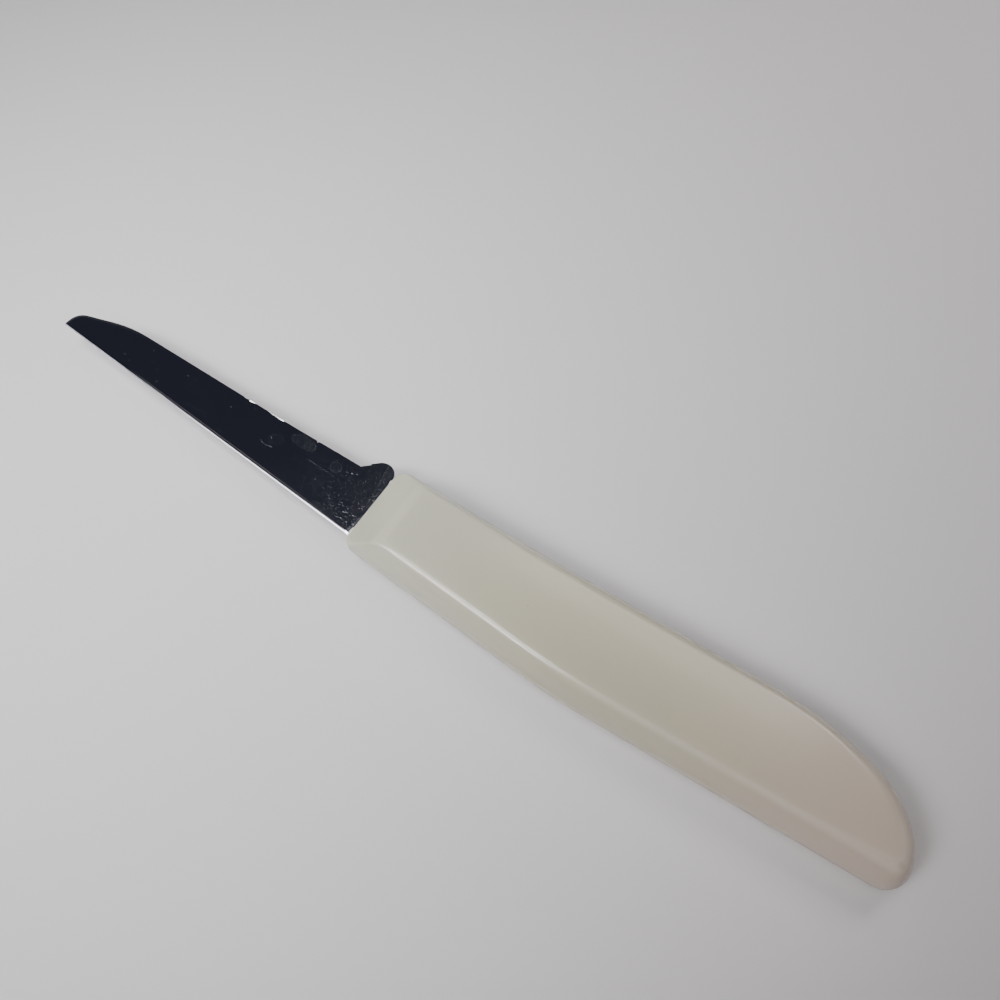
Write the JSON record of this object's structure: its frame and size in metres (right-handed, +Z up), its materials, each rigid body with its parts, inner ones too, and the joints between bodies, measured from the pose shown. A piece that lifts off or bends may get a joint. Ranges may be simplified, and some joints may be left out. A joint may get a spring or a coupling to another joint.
{
  "type": "paring knife",
  "caption": "Small kitchen paring knife lying on its side: a slim, worn, straight-spined blade with a stepped heel in a plain one-piece moulded handle with flat faces.",
  "frame": {"origin": "centre of the bounding box in plan, on the surface that the knife lies on", "axes": "+X along the spine from the tip to the butt, +Y across the blade from the spine to the cutting edge, +Z up, square to the flat of the blade"},
  "size_m": [0.1776, 0.0234, 0.012],
  "materials": {
    "polished_steel": "mirror-polished stainless steel, with fine scratches and water marks",
    "handle_plastic": "satin ivory plastic"
  },
  "bodies": {
    "root": {"blade": "polished_steel", "handle": "handle_plastic"}
  },
  "joints": []
}
